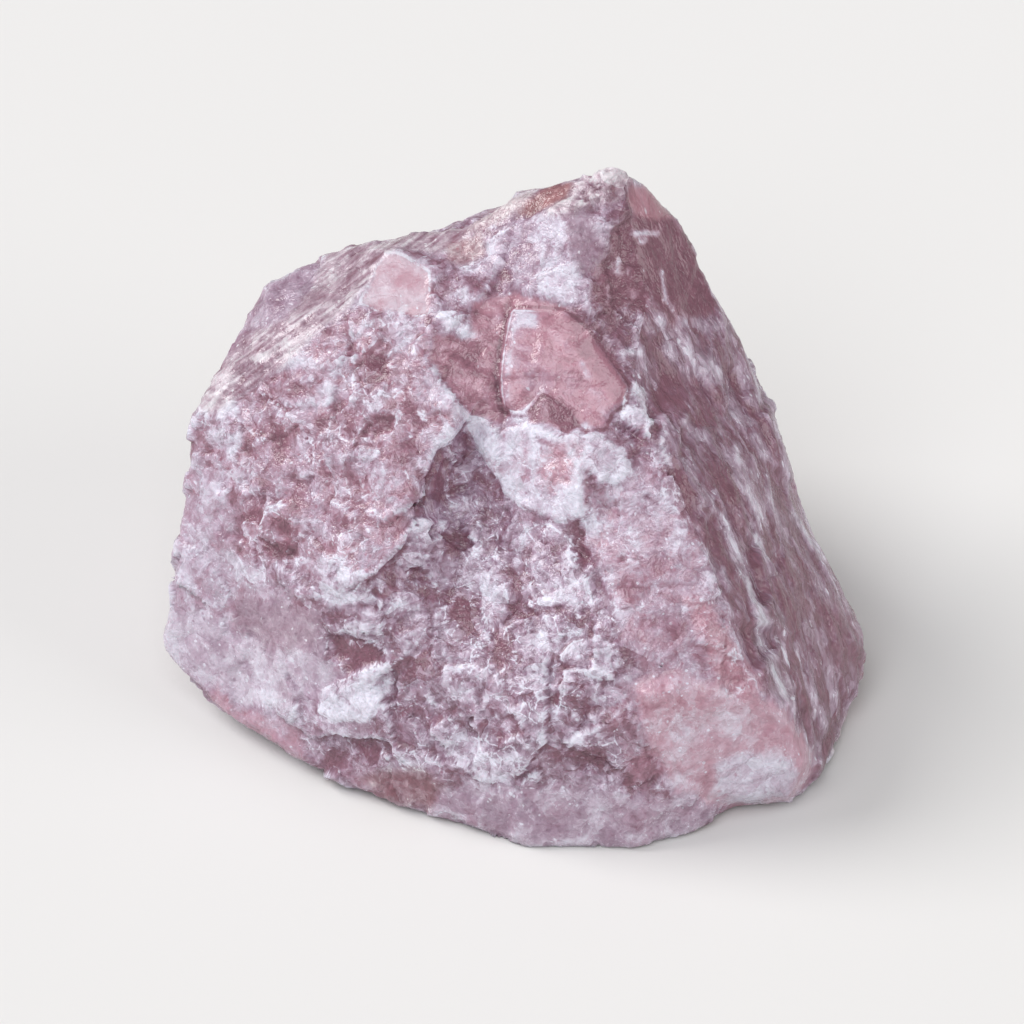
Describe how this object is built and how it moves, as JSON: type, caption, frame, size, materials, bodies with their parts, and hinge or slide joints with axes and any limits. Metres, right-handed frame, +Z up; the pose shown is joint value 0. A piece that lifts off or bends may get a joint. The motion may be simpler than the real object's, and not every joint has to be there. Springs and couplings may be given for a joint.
{
  "type": "rough strawberry calcite",
  "caption": "Rough broken chunk of rose and white strawberry calcite with a pointed top, chipped faces and a flat spot underneath that it rests on.",
  "frame": {"origin": "centre of the stone's footprint, on the plane it rests on", "axes": "+X to the right along the longest side, +Y to the back, +Z up; the broken front with the hollow faces -Y and the point rises to the right of the middle"},
  "size_m": [0.0453, 0.0392, 0.0343],
  "materials": {
    "rose_calcite": "rough broken stone, rose in the recesses and frosted white on the chipped edges, with small glassy facets"
  },
  "bodies": {
    "root": {"stone": "rose_calcite"}
  },
  "joints": []
}
